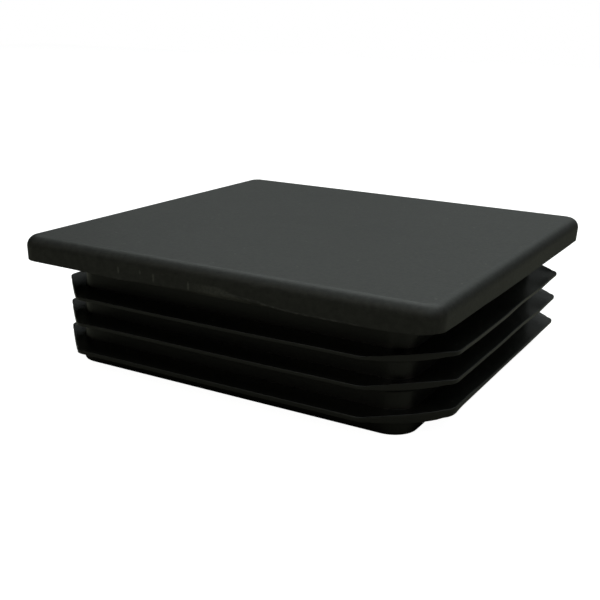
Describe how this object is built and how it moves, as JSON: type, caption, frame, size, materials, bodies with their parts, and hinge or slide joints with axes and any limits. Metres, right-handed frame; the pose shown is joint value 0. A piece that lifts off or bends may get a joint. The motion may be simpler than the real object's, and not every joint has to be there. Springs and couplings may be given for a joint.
{
  "type": "tube end cap",
  "caption": "Square ribbed end cap: a flat head with rounded edges over a hollow stem ringed by thin flexible fins, pressed into the end of a square tube.",
  "frame": {"origin": "middle of the seat, the flat underside of the head that rests on the end of the tube", "axes": "+Z points out of the tube, so the head is above the origin and the stem below it; X and Y are square to the sides"},
  "size_m": [0.1, 0.1, 0.0299],
  "materials": {
    "black_polyethylene": "black moulded polyethylene, satin-matt with a fine even grain"
  },
  "bodies": {
    "root": {"end_cap": "black_polyethylene"}
  },
  "joints": []
}
